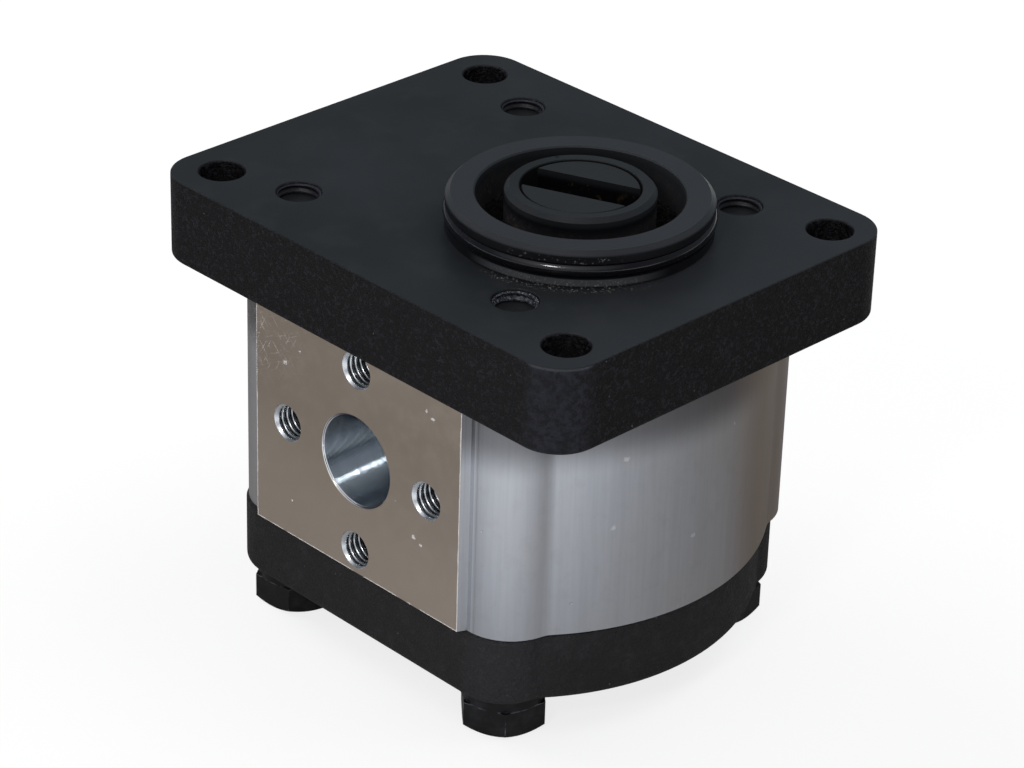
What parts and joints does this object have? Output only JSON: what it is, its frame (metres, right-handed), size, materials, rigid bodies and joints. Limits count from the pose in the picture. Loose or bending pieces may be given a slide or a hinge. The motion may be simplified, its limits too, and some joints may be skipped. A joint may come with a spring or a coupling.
{
  "type": "external gear pump",
  "caption": "External gear pump with a rectangular pilot flange, a slotted floating driver, an extruded body with side ports and a bolted rear cover.",
  "frame": {"origin": "where the drive shaft's axis meets the flange's mounting face", "axes": "+Z out of the mounting face, along the drive shaft's axis towards the engine; X along the line of the two gears, with the idler at -X; the inlet port faces -Y and the outlet port +Y"},
  "size_m": [0.1142, 0.0912, 0.1006],
  "materials": {
    "black_casting": "satin black paint on a sand casting",
    "extruded_body": "satin, drawn lines along the extrusion",
    "driver_steel": "blackened, satin",
    "gear_steel": "ground",
    "block_alloy": "machined",
    "bush_bronze": "plain bearing lining",
    "bolt_steel": "blackened, oiled",
    "seal_rubber": "smooth, oiled",
    "backing_plastic": "plain"
  },
  "bodies": {
    "pump_body": {"mounting_flange": "black_casting", "pilot_o_ring": "seal_rubber", "shaft_seal": "seal_rubber", "gear_body": "extruded_body", "rear_cover": "black_casting", "front_bearing_block": "block_alloy", "rear_bearing_block": "block_alloy", "front_drive_bush": "bush_bronze", "front_idler_bush": "bush_bronze", "rear_drive_bush": "bush_bronze", "rear_idler_bush": "bush_bronze", "front_block_seal": "seal_rubber", "rear_block_seal": "seal_rubber", "front_backing_ring": "backing_plastic", "rear_backing_ring": "backing_plastic", "front_face_seal": "seal_rubber", "rear_face_seal": "seal_rubber", "front_dowels": "gear_steel", "rear_dowels": "gear_steel", "body_bolts": "bolt_steel", "lock_washers": "bolt_steel"},
    "drive": {"drive_gear": "gear_steel", "drive_coupling": "driver_steel"},
    "idler": {"idler_gear": "gear_steel"}
  },
  "joints": [
    {"name": "drive_spin", "type": "hinge", "parent": "pump_body", "child": "drive", "pos_m": [0, 0, -0.043], "axis": [0, 0, 1], "continuous": true},
    {"name": "idler_spin", "type": "hinge", "parent": "pump_body", "child": "idler", "pos_m": [-0.033, 0, -0.043], "axis": [0, 0, 1], "continuous": true}
  ],
  "couplings": [
    {"joint": "idler_spin", "follows": "drive_spin", "ratio": -1}
  ]
}
